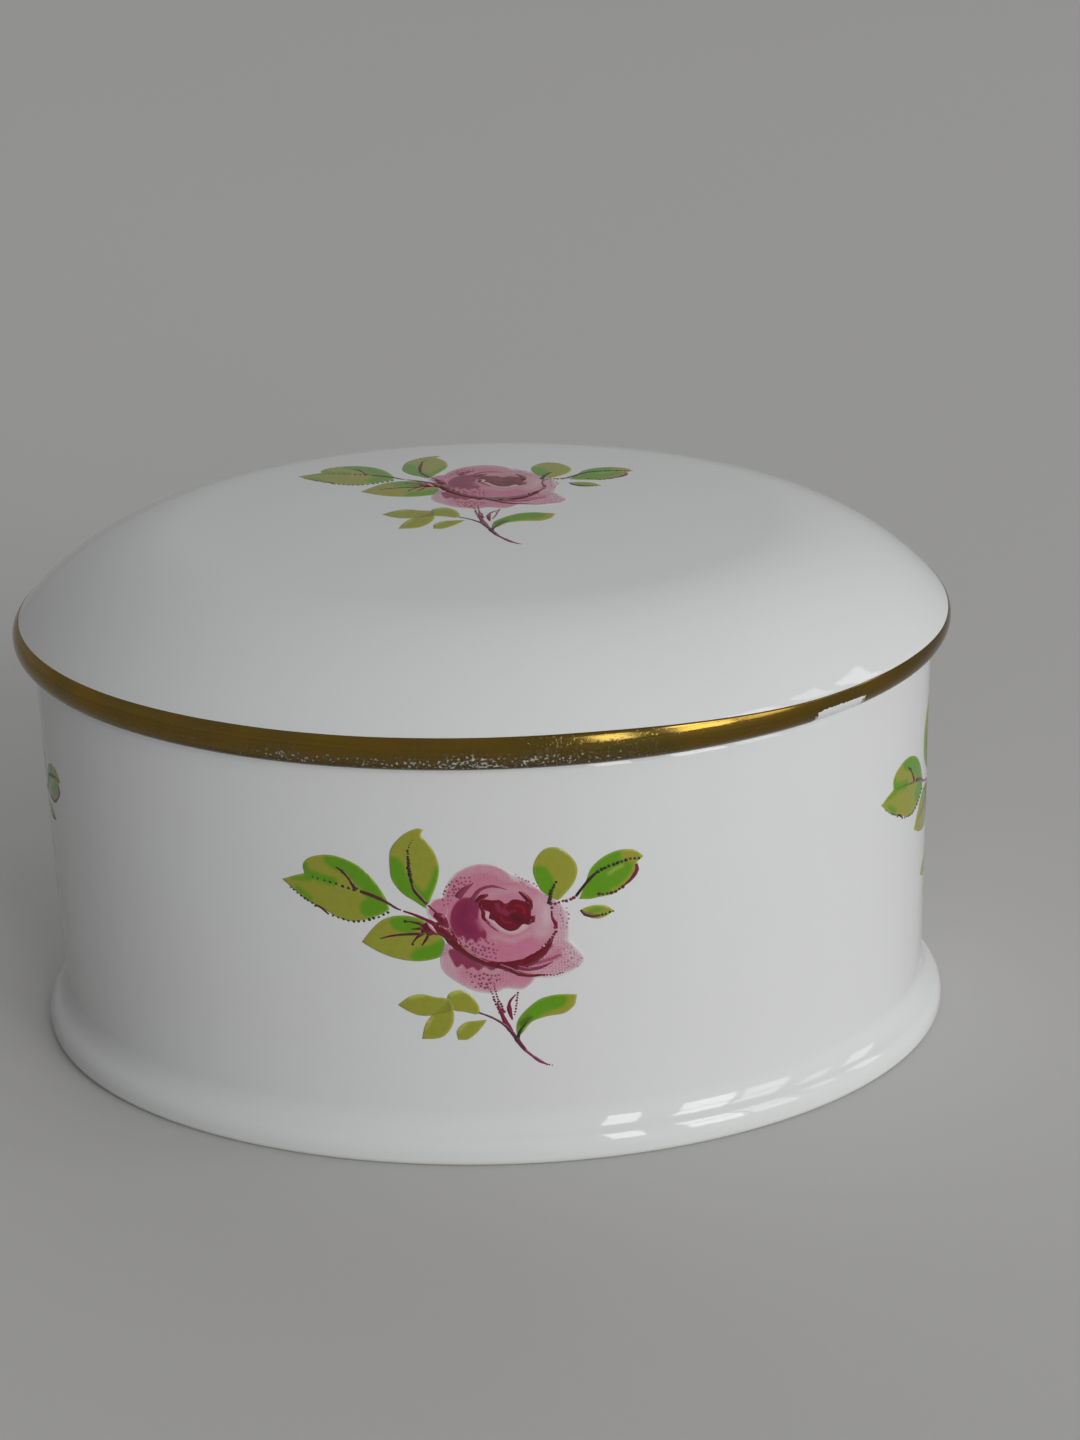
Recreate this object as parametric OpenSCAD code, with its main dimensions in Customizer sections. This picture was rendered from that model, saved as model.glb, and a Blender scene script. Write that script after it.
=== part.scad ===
// Oval trinket box in glazed bone china: a straight-sided cup with a flared foot, and a low
// domed lid that lifts off. The lid is located by a plain flange that drops into the mouth.
// The origin is on the table under the middle of the box. X is the long way, Y the short way.

/* [Overall] */
// Length of the lid over its lip
lid_length = 95; // [70:1:130]
// Width of the lid over its lip
lid_width = 68; // [50:1:90]
// Height of the cup, from the table to the face that the lid sits on
cup_height = 42.8; // [25:0.2:70]

/* [Cup] */
// How far the lid's lip stands out past the cup's side
overhang = 1.9; // [0.8:0.1:3]
// Thickness of the cup's side
cup_wall = 2.7; // [2:0.1:4]
// Height of the cup's floor above the table, on its upper side
floor_top = 4.4; // [3.4:0.1:7]
// Radius where the side turns into the floor inside
floor_fillet = 4; // [1:0.5:8]
// Rounding of the mouth's two edges
mouth_round = 0.5; // [0.2:0.1:0.8]

/* [Foot] */
// How far the foot stands out past the cup's side
foot_spread = 2.2; // [1:0.1:4]
// Radius of the hollow curve above the foot
foot_hollow_r = 3.4; // [2.5:0.1:6]
// Radius of the rounded shoulder of the foot
foot_shoulder_r = 2.2; // [1.6:0.1:4]
// Height of the foot's upright edge
foot_edge_h = 1.2; // [1:0.1:4]
// Rounding of the foot's lower edge
foot_round = 0.8; // [0.3:0.1:0.9]
// Width of the ring that the box stands on
ring_w = 4.2; // [2.5:0.1:7]
// How deep the underside is hollowed inside the ring
ring_h = 1.3; // [0.5:0.1:2]

/* [Lid] */
// Height of the dome above the middle of the lip
dome_rise = 11.6; // [9:0.1:14]
// Radius of the shallow crown of the dome
crown_r = 320; // [180:5:600]
// Radius of the shoulder between the crown and the lip
shoulder_r = 26; // [18:0.5:34]
// Radius of the rounded lip
lip_r = 2; // [1.2:0.1:2.8]
// Thickness of the dome
lid_wall = 2.6; // [1.8:0.1:4]
// Depth of the flange below the lid's seat
flange_h = 4.2; // [2:0.1:8]
// Thickness of the flange
flange_t = 2.4; // [1.5:0.1:4]
// Gap all round between the flange and the cup's mouth
flange_clearance = 0.5; // [0.3:0.05:1]

/* [Decoration] */
// Thickness of the gilding on the lip
gilt_t = 0.08; // [0.05:0.01:0.2]
// Angle where the gilding starts, under the lip
gilt_from = -68; // [-80:1:-40]
// Angle where the gilding ends, on top of the lip
gilt_to = 38; // [10:1:38]
// Thickness of the fired rose transfers
transfer_t = 0.08; // [0.05:0.01:0.2]
// Height of the middle of the side transfers above the table
sprig_z = 23.4; // [18:0.2:26]
// Sideways place of the front transfer
sprig_shift = -1.2; // [-5:0.1:5]
// Sideways place of the lid's transfer
lid_sprig_x = -2.2; // [-5:0.1:5]
// How far behind the lid's middle its transfer sits
lid_sprig_y = 3.6; // [-5:0.1:5]
// How far the lid's transfer is turned, seen from above
lid_sprig_turn = -5; // [-15:1:15]
// Size of every sprig, where 1 is 35 mm from leaf tip to leaf tip
sprig_size = 1; // [0.7:0.05:1.1]

/* [Hidden] */

turn_fn = 144;
leaf_fn = 48;
fine_steps = 4;
arc_steps = 8;
cut = 1;
// Fired films stand this far off the glaze, so that no facet of one cuts the other
film_gap = 0.03;
glaze_white = [0.93, 0.93, 0.91];
gilt_gold = [0.80, 0.62, 0.22];
rose_pink = [0.76, 0.42, 0.53];

// Half sizes of each oval, long way first. Every oval keeps the same distance from the lip.
lip_half = [lid_length / 2, lid_width / 2];
cup_half = [lip_half.x - overhang, lip_half.y - overhang];
film_half = [cup_half.x + film_gap, cup_half.y + film_gap];
mouth_half = [cup_half.x - cup_wall, cup_half.y - cup_wall];
flange_half = [mouth_half.x - flange_clearance, mouth_half.y - flange_clearance];
hollow_half = [flange_half.x - flange_t, flange_half.y - flange_t];
foot_x = cup_half.x + foot_spread;
ring_half = [foot_x - ring_w, cup_half.y + foot_spread - ring_w];

// The foot is an S-curve: a hollow arc leaves the upright side and a round one meets the edge.
foot_turn = acos(1 - foot_spread / (foot_hollow_r + foot_shoulder_r));
foot_h = foot_edge_h + (foot_hollow_r + foot_shoulder_r) * sin(foot_turn);
// The hollow arc starts one step on, because the round one already ends where they meet.
hollow_turn = foot_turn * (1 - 1 / fine_steps);

// Centres of the lid's arcs. The crown's is on the axis, and the shoulder's is placed so
// that the shoulder touches the crown and the lip smoothly.
lip_c = [lip_half.x - lip_r, cup_height + lip_r];
crown_c = [0, lip_c.y + dome_rise - crown_r];
span = norm(lip_c - crown_c);
to_crown = crown_r - shoulder_r;
to_lip = shoulder_r - lip_r;
along = (to_crown * to_crown - to_lip * to_lip + span * span) / (2 * span);
aside = sqrt(to_crown * to_crown - along * along);
dir = (lip_c - crown_c) / span;
shoulder_c = crown_c + along * dir + aside * [-dir.y, dir.x];
crown_end = atan2(shoulder_c.y - crown_c.y, shoulder_c.x - crown_c.x);
shoulder_end = atan2(lip_c.y - shoulder_c.y, lip_c.x - shoulder_c.x);

// Points along a round arc about c, from one angle to another
function arc(c, r, from, to, steps) =
    [for (i = [0:steps]) let (a = from + (to - from) * i / steps) c + r * [cos(a), sin(a)]];

// A list's items, last one first
function reversed(list) = [for (i = [len(list) - 1:-1:0]) list[i]];

// The dome's outline from the axis to the end of the shoulder, set in from the surface by d
function dome_line(d) = concat(
    [[0, crown_c.y + crown_r - d]],
    arc(crown_c, crown_r - d, 90 - (90 - crown_end) / arc_steps, crown_end, arc_steps - 1),
    arc(shoulder_c, shoulder_r - d, crown_end - fine_steps, shoulder_end, arc_steps));

// A profile turned about Z and drawn in to an oval with the given half sizes, in two halves
module oval(profile, half) {
    for (turn = [0, 180])
        scale([1, half.y / half.x, 1])
            rotate([0, 0, turn])
                rotate_extrude(angle = 180, $fn = turn_fn)
                    polygon(profile);
}

// An upright oval block
module oval_block(half, bottom, top) {
    oval([[0, bottom], [half.x, bottom], [half.x, top], [0, top]], half);
}

// The cup's outside, from the table to the lid's seat
module cup_outside() {
    oval(concat(
        [[0, 0]],
        arc([foot_x - foot_round, foot_round], foot_round, -90, 0, fine_steps),
        arc([foot_x - foot_shoulder_r, foot_edge_h], foot_shoulder_r, 0, foot_turn, fine_steps),
        arc([cup_half.x + foot_hollow_r, foot_h], foot_hollow_r, 180 + hollow_turn, 180, fine_steps - 1),
        arc([cup_half.x - mouth_round, cup_height - mouth_round], mouth_round, 0, 90, fine_steps),
        [[0, cup_height]]), cup_half);
}

// The space inside the cup, open at the top
module cup_inside() {
    oval(concat(
        [[0, floor_top]],
        arc([mouth_half.x - floor_fillet, floor_top + floor_fillet], floor_fillet, -90, 0, arc_steps),
        arc([mouth_half.x + mouth_round, cup_height - mouth_round], mouth_round, 180, 90, fine_steps),
        [[mouth_half.x + mouth_round, cup_height + cut], [0, cup_height + cut]]), mouth_half);
}

// The cup, hollowed underneath so that it stands on a ring
module cup() {
    color(glaze_white)
        difference() {
            cup_outside();
            cup_inside();
            oval_block(ring_half, -cut, ring_h);
        }
}

// The lid's outside, from the crown to the flat seat inside the lip
module lid_outside() {
    oval(concat(
        dome_line(0),
        arc(lip_c, lip_r, shoulder_end - fine_steps, -90, 2 * arc_steps),
        [[0, cup_height]]), lip_half);
}

// The hollow under the dome, which the flange bounds
module lid_inside() {
    intersection() {
        oval(concat(
            dome_line(lid_wall),
            [[shoulder_c.x + (shoulder_r - lid_wall) * cos(shoulder_end), cup_height - flange_h - cut],
             [0, cup_height - flange_h - cut]]), lip_half);
        oval_block(hollow_half, cup_height - flange_h - cut, cup_height + dome_rise + lip_r);
    }
}

// The lid with the flange that drops into the cup's mouth
module lid() {
    color(glaze_white)
        difference() {
            union() {
                lid_outside();
                oval_block(flange_half, cup_height - flange_h, cup_height + lip_r);
            }
            lid_inside();
        }
}

// The gilded band round the lip
module lip_gilding() {
    color(gilt_gold)
        oval(concat(
            arc(lip_c, lip_r + film_gap, gilt_from, gilt_to, arc_steps),
            arc(lip_c, lip_r + film_gap + gilt_t, gilt_to, gilt_from, arc_steps)), lip_half);
}

// A leaf with its foot at a point, a length, a width and the direction that it grows in
module leaf(foot, length, width, angle) {
    r = (length * length + width * width) / (4 * width);
    translate(foot)
        rotate(angle)
            intersection() {
                translate([length / 2, width / 2 - r])
                    circle(r, $fn = leaf_fn);
                translate([length / 2, r - width / 2])
                    circle(r, $fn = leaf_fn);
            }
}

// A straight piece of stem between two points
module twig(from, to, width) {
    d = to - from;
    translate(from)
        rotate(atan2(d.y, d.x))
            translate([0, -width / 2])
                square([norm(d), width]);
}

// The sprig's flat outline, with its middle at the origin
module sprig() {
    scale(sprig_size) {
        // The open rose
        translate([3.5, 3])
            circle(4.9, $fn = leaf_fn);
        translate([2.4, 6.1])
            circle(3.2, $fn = leaf_fn);
        translate([1.4, -1.6])
            circle(3.1, $fn = leaf_fn);
        translate([5.6, -1.4])
            circle(2.8, $fn = leaf_fn);
        translate([8.7, -0.8])
            circle(2.5, $fn = leaf_fn);
        // Leaves at the left, top and right of the rose
        leaf([-7.1, 4.4], 10.6, 5.8, 168);
        leaf([-3.6, 4.7], 8.3, 4.4, 94);
        leaf([-1, 1.3], 8.8, 4.6, 180);
        leaf([8.2, 4.8], 5.9, 4.2, 82);
        leaf([11, 5], 7.4, 3.8, 31);
        leaf([11, 3.8], 3.3, 1.4, -7);
        // Twigs to the leaves
        twig([-7.6, 4.6], [0, 3], 0.5);
        twig([-3.6, 5.2], [-0.6, 3.4], 0.5);
        twig([8.2, 5.2], [6.8, 3.8], 0.5);
        twig([6.6, 4.3], [11.4, 5.3], 0.5);
        twig([6.6, 3.9], [11.4, 3.8], 0.4);
        // Stems below the rose
        twig([2.4, -3.4], [4.5, -9.8], 0.6);
        twig([5, -3.6], [4.1, -8.2], 0.5);
        twig([4.3, -9.4], [8.2, -13.2], 0.6);
        twig([0.6, -6.4], [4.6, -9.8], 0.5);
        // Leaflets on the lower twig and the long leaf on the stem
        leaf([-1.3, -5.9], 5.3, 2.2, 180);
        leaf([-1.1, -6], 5, 2.5, 231);
        leaf([1.4, -6.7], 3.7, 2.2, 157);
        leaf([2, -7.6], 3.6, 1.8, 214);
        leaf([4.5, -9.8], 7.6, 2.5, 37);
    }
}

// A sprig fired on the cup's side, where turn 0 is the front
module side_transfer(turn, shift) {
    color(rose_pink)
        intersection() {
            difference() {
                oval_block(film_half + [transfer_t, transfer_t], foot_h, cup_height);
                oval_block(film_half, foot_h - cut, cup_height + cut);
            }
            rotate([90, 0, turn])
                translate([shift, sprig_z, 0])
                    linear_extrude(height = lid_length)
                        sprig();
        }
}

// The sprig fired on the crown of the lid
module lid_transfer() {
    color(rose_pink)
        intersection() {
            oval(concat(dome_line(-film_gap - transfer_t), reversed(dome_line(-film_gap))), lip_half);
            translate([lid_sprig_x, lid_sprig_y, cup_height])
                rotate([0, 0, lid_sprig_turn])
                    linear_extrude(height = dome_rise + 2 * lip_r)
                        sprig();
        }
}

module front_transfer() {
    side_transfer(0, sprig_shift);
}

module right_transfer() {
    side_transfer(90, 0);
}

module back_transfer() {
    side_transfer(180, 0);
}

module left_transfer() {
    side_transfer(270, 0);
}

cup();
lid();
lip_gilding();
lid_transfer();
front_transfer();
right_transfer();
back_transfer();
left_transfer();
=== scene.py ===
import math

import bpy
import numpy as np
from mathutils import Matrix, Vector
from mathutils.geometry import delaunay_2d_cdt


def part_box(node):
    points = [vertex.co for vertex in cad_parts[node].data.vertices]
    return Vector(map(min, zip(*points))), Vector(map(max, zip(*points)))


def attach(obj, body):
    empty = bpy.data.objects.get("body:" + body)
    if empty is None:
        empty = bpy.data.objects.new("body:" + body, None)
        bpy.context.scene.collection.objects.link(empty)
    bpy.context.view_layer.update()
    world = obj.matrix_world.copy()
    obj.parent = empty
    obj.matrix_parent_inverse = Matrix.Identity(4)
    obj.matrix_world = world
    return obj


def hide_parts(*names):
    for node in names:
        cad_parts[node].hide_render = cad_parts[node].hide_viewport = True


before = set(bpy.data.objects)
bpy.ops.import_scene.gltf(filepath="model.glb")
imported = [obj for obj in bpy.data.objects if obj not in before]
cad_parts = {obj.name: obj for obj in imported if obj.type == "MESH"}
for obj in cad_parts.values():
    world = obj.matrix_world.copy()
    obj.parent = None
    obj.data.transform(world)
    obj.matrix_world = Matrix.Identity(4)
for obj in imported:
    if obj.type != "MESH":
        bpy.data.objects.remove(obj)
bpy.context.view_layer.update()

bpy.context.scene.view_settings.view_transform = "Standard"

# THE VIEW
# The box is seen from a little above the table and almost square to its long front side,
# through a long lens, with the head tipped slightly to one side.
eye = Vector((0.01345, -0.2800, 0.1630))
heading, dip, lean = math.radians(-1.589), math.radians(24.98), math.radians(1.646)
lens_mm, film_mm, nearest_seen = 74.73, 36, 0.01

ahead = Vector((math.sin(heading) * math.cos(dip), math.cos(heading) * math.cos(dip),
                -math.sin(dip)))
level = Vector((math.cos(heading), -math.sin(heading), 0))
upright = level.cross(ahead)
to_right = math.cos(lean) * level - math.sin(lean) * upright
to_top = math.sin(lean) * level + math.cos(lean) * upright

camera = bpy.data.objects.new("camera", bpy.data.cameras.new("camera"))
camera.data.lens = lens_mm
camera.data.sensor_width = film_mm
camera.data.clip_start = nearest_seen
camera.matrix_world = Matrix((to_right, to_top, -ahead)).transposed().to_4x4()
camera.matrix_world.translation = eye
bpy.context.scene.collection.objects.link(camera)
bpy.context.scene.camera = camera


# THE TABLE AND THE ROOM
# A wide, plain, pale table top. The room is brightest overhead and in front of the table,
# and darkest at the left. A low window stands on the right, in front of the table.
table_reach, table_sides = 1.8, 96
table_colour, table_grain, grain_share = (0.61, 0.605, 0.59), (0.46, 0.45, 0.43), 0.06
backdrop_colour = (0.33, 0.327, 0.318)
wall_light, ceiling_light, left_dimming = 0.145, 0.355, 0.05
front_gain, back_gain, sky_blue = 3.4, 2.3, 1.02
# Where each change of light starts and ends, as a direction's share of each axis
wall_to_ceiling, left_to_middle, left_lag_behind = (-0.1, 0.95), (-0.50, 0.08), 0.6
front_to_middle, middle_to_back = (-0.85, -0.25), (0.2, 0.9)
# Each pane, in degrees as seen from the box: how far round to the right it stands, its
# width, its foot and its head; then its glow
panes = ((23, 7, 5, 33, 5.2), (41, 12, 3, 20.2, 5.2), (41, 12, 21.8, 34, 5.2),
         (55, 12, 3, 20.2, 2.9), (55, 12, 21.8, 34, 2.9), (73, 9, 20, 34.5, 2.0),
         (89, 11, 14, 32, 2.5))
window_far = 4.5


def add(tree, kind, inputs=None, **settings):
    """A new node. Its inputs are numbers, colours or the outputs that feed them."""
    made = tree.nodes.new(kind)
    for name, value in settings.items():
        setattr(made, name, value)
    for name, value in (inputs or {}).items():
        if isinstance(value, bpy.types.NodeSocket):
            tree.links.new(value, made.inputs[name])
        else:
            made.inputs[name].default_value = value
    return made


def maths(tree, operation, first, second=0.0, third=0.0):
    """A sum done on up to three numbers or outputs."""
    return add(tree, "ShaderNodeMath", {0: first, 1: second, 2: third},
               operation=operation).outputs[0]


def times(tree, first, second):
    return maths(tree, "MULTIPLY", first, second)


def between(tree, value, low, high, start=0.0, end=1.0):
    """start where value is low, end where it is high, and a smooth change between."""
    return add(tree, "ShaderNodeMapRange", {"Value": value, "From Min": low, "From Max": high,
                                            "To Min": start, "To Max": end},
               interpolation_type="SMOOTHSTEP").outputs[0]


def blend(tree, share, first, second, how="MIX"):
    """The first colour where share is 0 and the second where it is 1."""
    first, second = ((*colour, 1) if isinstance(colour, tuple) else colour
                     for colour in (first, second))
    return add(tree, "ShaderNodeMix", {0: share, 6: first, 7: second},
               data_type="RGBA", blend_type=how).outputs[2]


def noise(tree, scale, detail, place=None):
    """A cloudy texture, finer as its scale grows."""
    inputs = {"Scale": scale, "Detail": detail, **({"Vector": place} if place else {})}
    return add(tree, "ShaderNodeTexNoise", inputs).outputs[0]


def surface(name, **sockets):
    """A new material, its node tree and its shader."""
    made = bpy.data.materials.new(name)
    made.use_nodes = True
    shader = made.node_tree.nodes["Principled BSDF"]
    for socket, value in sockets.items():
        shader.inputs[socket.replace("_", " ")].default_value = value
    return made, made.node_tree, shader


def mesh_piece(name, places, faces, finish):
    """A smooth-shaded mesh object, from places in metres in the box's own frame."""
    mesh = bpy.data.meshes.new(name)
    mesh.from_pydata(places, [], faces)
    mesh.shade_smooth()
    mesh.materials.append(finish)
    piece = bpy.data.objects.new(name, mesh)
    bpy.context.scene.collection.objects.link(piece)
    return piece


table_finish, tree, shader = surface("table_top", Roughness=0.6, Specular_IOR_Level=0.2)
grain = between(tree, noise(tree, 9.0, 3.0), 0.3, 0.7, 0.0, grain_share)
tree.links.new(blend(tree, grain, table_colour, table_grain), shader.inputs["Base Color"])
rim = [2 * math.pi * i / table_sides for i in range(table_sides)]
table = mesh_piece("table_top", [(table_reach * math.cos(a), table_reach * math.sin(a), 0)
                                 for a in rim], [tuple(range(table_sides))], table_finish)

room = bpy.data.worlds.new("room")
bpy.context.scene.world = room
room.use_nodes = True
tree = room.node_tree
generated = add(tree, "ShaderNodeTexCoord").outputs["Generated"]
sideways, forwards, upwards = add(tree, "ShaderNodeSeparateXYZ", {0: generated}).outputs
from_left = maths(tree, "MULTIPLY_ADD", maths(tree, "MAXIMUM", forwards, 0.0),
                  left_lag_behind, sideways)
glow = times(tree, between(tree, upwards, *wall_to_ceiling, wall_light, ceiling_light),
             between(tree, from_left, *left_to_middle, left_dimming, 1.0))
glow = times(tree, glow, between(tree, forwards, *front_to_middle, front_gain, 1.0))
glow = times(tree, glow, between(tree, forwards, *middle_to_back, 1.0, back_gain))
lit = add(tree, "ShaderNodeCombineColor", {0: glow, 1: glow, 2: times(tree, glow, sky_blue)})
# An eye or a mirroring surface sees the plain backdrop: the room only sheds its light.
path = add(tree, "ShaderNodeLightPath").outputs
seen = maths(tree, "ADD", path["Is Camera Ray"],
             maths(tree, "ADD", path["Is Glossy Ray"], path["Is Transmission Ray"]))
tree.links.new(blend(tree, seen, lit.outputs[0], backdrop_colour),
               tree.nodes["Background"].inputs["Color"])

for turned_by, wide, low, high, strength in panes:
    aside, rise = math.radians(turned_by), math.radians((low + high) / 2)
    away_from = Vector((math.sin(aside) * math.cos(rise), -math.cos(aside) * math.cos(rise),
                        math.sin(rise)))
    pane = bpy.data.lights.new("window_pane", "AREA")
    pane.shape = "RECTANGLE"
    pane.size = math.radians(wide) * window_far * math.cos(rise)
    pane.size_y = math.radians(high - low) * window_far
    # A pane's glow is its power over its area and over pi.
    pane.energy = strength * math.pi * pane.size * pane.size_y
    light = bpy.data.objects.new("window_pane", pane)
    light.matrix_world = away_from.to_track_quat("Z", "Y").to_matrix().to_4x4()
    light.matrix_world.translation = away_from * window_far
    bpy.context.scene.collection.objects.link(light)


# THE CUP
# The cup is slip-cast bone china: a plain oval wall on a flared foot, with a hollow cut
# under it so that it stands on a ring. It is glazed all over, then the ring is wiped bare.
MM = 0.001
around = 400
cup_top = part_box("cup")[1] / MM
overhang, cup_wall, floor_top, floor_fillet = 1.9, 2.7, 4.4, 4.0
mouth_round, shoulder_round = 0.5, 1.1
foot_spread, foot_hollow_r, foot_shoulder_r, foot_edge_h, foot_round = 2.2, 3.4, 2.2, 1.2, 0.8
ring_w, ring_h, ring_round, recess_fillet = 4.2, 1.3, 0.35, 0.6
wiped_h, wiped_inset = 0.12, 0.4
lip_half = np.array((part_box("lid")[1].x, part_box("lid")[1].y)) / MM
cup_half = lip_half - overhang
mouth_half = cup_half - cup_wall
foot_x = cup_half[0] + foot_spread
ring_half = np.array((foot_x, cup_half[1] + foot_spread)) - ring_w
china_colour, china_cloud = (0.785, 0.80, 0.795), (0.774, 0.786, 0.776)
biscuit_colour, biscuit_sand = (0.66, 0.64, 0.60), (0.56, 0.53, 0.48)
pinhole_colour, pinhole_strength, pinholes_from = (0.30, 0.27, 0.22), 0.6, 0.94
# How far each waviness and grain stands up, in mm
wave_h, orange_peel_h, sand_h, pinhole_depth = 0.030, 0.0006, 0.03, 0.02


def arc(centre, r, start, end, steps):
    """Points round an arc, with angles in degrees."""
    turn = np.radians(np.linspace(start, end, steps + 1))
    return np.stack((centre[0] + r * np.cos(turn), centre[1] + r * np.sin(turn)), 1)


def straight(start, end, steps):
    """Points between two ends, closest together near the ends so that the light turns there."""
    share = (1 - np.cos(np.linspace(0, math.pi, steps + 1)[1:-1])) / 2
    start, end = np.array(start, float), np.array(end, float)
    return start + share[:, None] * (end - start)


def rings_of(profile, half):
    """Each point of a profile as an oval ring: its half length, half width and height."""
    return [(x, x * half[1] / half[0], z) for x, z in profile]


def turned(name, rings, finish, closed=False):
    """A smooth oval shell through rings. A ring's height may differ all round it."""
    turn = np.linspace(0, 2 * math.pi, around, endpoint=False)
    places = np.array([np.stack((x * np.cos(turn), y * np.sin(turn), z + 0 * turn), 1)
                       for x, y, z in rings])
    count = len(rings)
    step = np.arange(around)
    beside = (step + 1) % around
    faces = []
    for i in range(count if closed else count - 1):
        here, after = i * around, (i + 1) % count * around
        faces.append(np.stack((here + step, after + step, after + beside, here + beside), 1))
    faces = np.concatenate(faces).tolist()
    if not closed:
        # The first and last rings close to a point on the axis.
        ends = [[0, 0, np.mean(rings[0][2])], [0, 0, np.mean(rings[-1][2])]]
        places = np.concatenate((places.reshape(-1, 3), ends))
        low, high = len(places) - 2, len(places) - 1
        last = (count - 1) * around
        faces += [(low, i, (i + 1) % around) for i in range(around)]
        faces += [(high, last + (i + 1) % around, last + i) for i in range(around)]
    return mesh_piece(name, (places.reshape(-1, 3) * MM).tolist(), faces, finish)


def give(piece, name, values, kind="FLOAT", field="value"):
    """Gives every vertex of a piece its own value, for its material to use."""
    found = piece.data.attributes.new(name, kind, "POINT")
    found.data.foreach_set(field, np.asarray(values).astype(np.float32).ravel())


def per_ring(piece, name, values):
    """Gives every vertex of a turned piece its ring's value, and its end points nothing."""
    spread = np.zeros(len(piece.data.vertices))
    spread[:len(values) * around] = np.repeat(values, around)
    give(piece, name, spread)


def given(tree, name, output="Fac"):
    """What a piece's vertices were given under this name."""
    return add(tree, "ShaderNodeAttribute", attribute_name=name).outputs[output]


def part_way(tree, share, first, second):
    """The first number where share is 0 and the second where it is 1."""
    return add(tree, "ShaderNodeMix", {0: share, 2: first, 3: second}).outputs[0]


def raise_surface(tree, shader, height):
    """Tips the light as a surface that stands up by this height in mm."""
    bump = add(tree, "ShaderNodeBump", {"Strength": 1.0, "Distance": MM, "Height": height})
    tree.links.new(bump.outputs[0], shader.inputs["Normal"])


def china(name):
    """Clear glaze over white bone china, with a few pinholes and a faint wave in the glaze."""
    finish, tree, shader = surface(name, IOR=1.52)
    place = add(tree, "ShaderNodeTexCoord").outputs["Object"]
    cloud, wave = noise(tree, 45.0, 3.0, place), noise(tree, 75.0, 1.0, place)
    orange_peel, sand = noise(tree, 620.0, 1.0, place), noise(tree, 2600.0, 2.0, place)
    cells = add(tree, "ShaderNodeTexVoronoi", {"Vector": place, "Scale": 170.0})
    chance = add(tree, "ShaderNodeSeparateColor", {0: cells.outputs["Color"]}).outputs
    rare = maths(tree, "GREATER_THAN", chance[0], pinholes_from)
    pin_size = between(tree, chance[1], 0.0, 1.0, 0.008, 0.030)
    pin = times(tree, rare, between(tree, cells.outputs["Distance"], 0.0, pin_size, 1.0, 0.0))
    bare = given(tree, "bare")
    tint = blend(tree, between(tree, cloud, 0.35, 0.65), china_colour, china_cloud)
    tint = blend(tree, times(tree, pin, pinhole_strength), tint, pinhole_colour)
    biscuit = blend(tree, between(tree, sand, 0.35, 0.65), biscuit_colour, biscuit_sand)
    tree.links.new(blend(tree, bare, tint, biscuit), shader.inputs["Base Color"])
    gloss = between(tree, cloud, 0.35, 0.7, 0.03, 0.065)
    tree.links.new(part_way(tree, bare, gloss, 0.6), shader.inputs["Roughness"])
    height = maths(tree, "ADD", times(tree, wave, wave_h), times(tree, orange_peel, orange_peel_h))
    height = maths(tree, "SUBTRACT", height, times(tree, pin, pinhole_depth))
    height = maths(tree, "ADD", height, times(tree, times(tree, sand, bare), sand_h))
    raise_surface(tree, shader, height)
    return finish


foot_turn = math.degrees(math.acos(1 - foot_spread / (foot_hollow_r + foot_shoulder_r)))
foot_h = foot_edge_h + (foot_hollow_r + foot_shoulder_r) * math.sin(math.radians(foot_turn))
ring_x, seat_z = ring_half[0], cup_top.z
round_x, round_z = cup_half[0] - shoulder_round, seat_z - shoulder_round
mouth_x, floor_x = mouth_half[0], mouth_half[0] - floor_fillet
recess = rings_of(np.concatenate((
    straight((0, ring_h), (ring_x - recess_fillet, ring_h), 12),
    arc((ring_x - recess_fillet, ring_h - recess_fillet), recess_fillet, 90, 0, 6),
    arc((ring_x + ring_round, ring_round), ring_round, 180, 270, 6))), ring_half)
outside = rings_of(np.concatenate((
    straight((ring_x + ring_round, 0), (foot_x - foot_round, 0), 10),
    arc((foot_x - foot_round, foot_round), foot_round, -90, 0, 10),
    straight((foot_x, foot_round), (foot_x, foot_edge_h), 6),
    arc((foot_x - foot_shoulder_r, foot_edge_h), foot_shoulder_r, 0, foot_turn, 14),
    arc((cup_half[0] + foot_hollow_r, foot_h), foot_hollow_r, 180 + foot_turn, 180, 16)[1:],
    straight((cup_half[0], foot_h), (cup_half[0], round_z), 40),
    arc((round_x, round_z), shoulder_round, 0, 90, 12))), cup_half)
inside = rings_of(np.concatenate((
    arc((mouth_x + mouth_round, seat_z - mouth_round), mouth_round, 90, 180, 8),
    straight((mouth_x, seat_z - mouth_round), (mouth_x, floor_top + floor_fillet), 30),
    arc((floor_x, floor_top + floor_fillet), floor_fillet, 0, -90, 16),
    straight((floor_x, floor_top), (0, floor_top), 20))), mouth_half)
cup_rings = recess + outside + inside
cup = turned("cup_body", cup_rings, china("glazed_cup"))
per_ring(cup, "bare", [float(0.0 <= z < wiped_h and x < foot_x - wiped_inset)
                       for x, y, z in cup_rings])
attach(cup, "cup")
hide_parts("cup")

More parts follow.
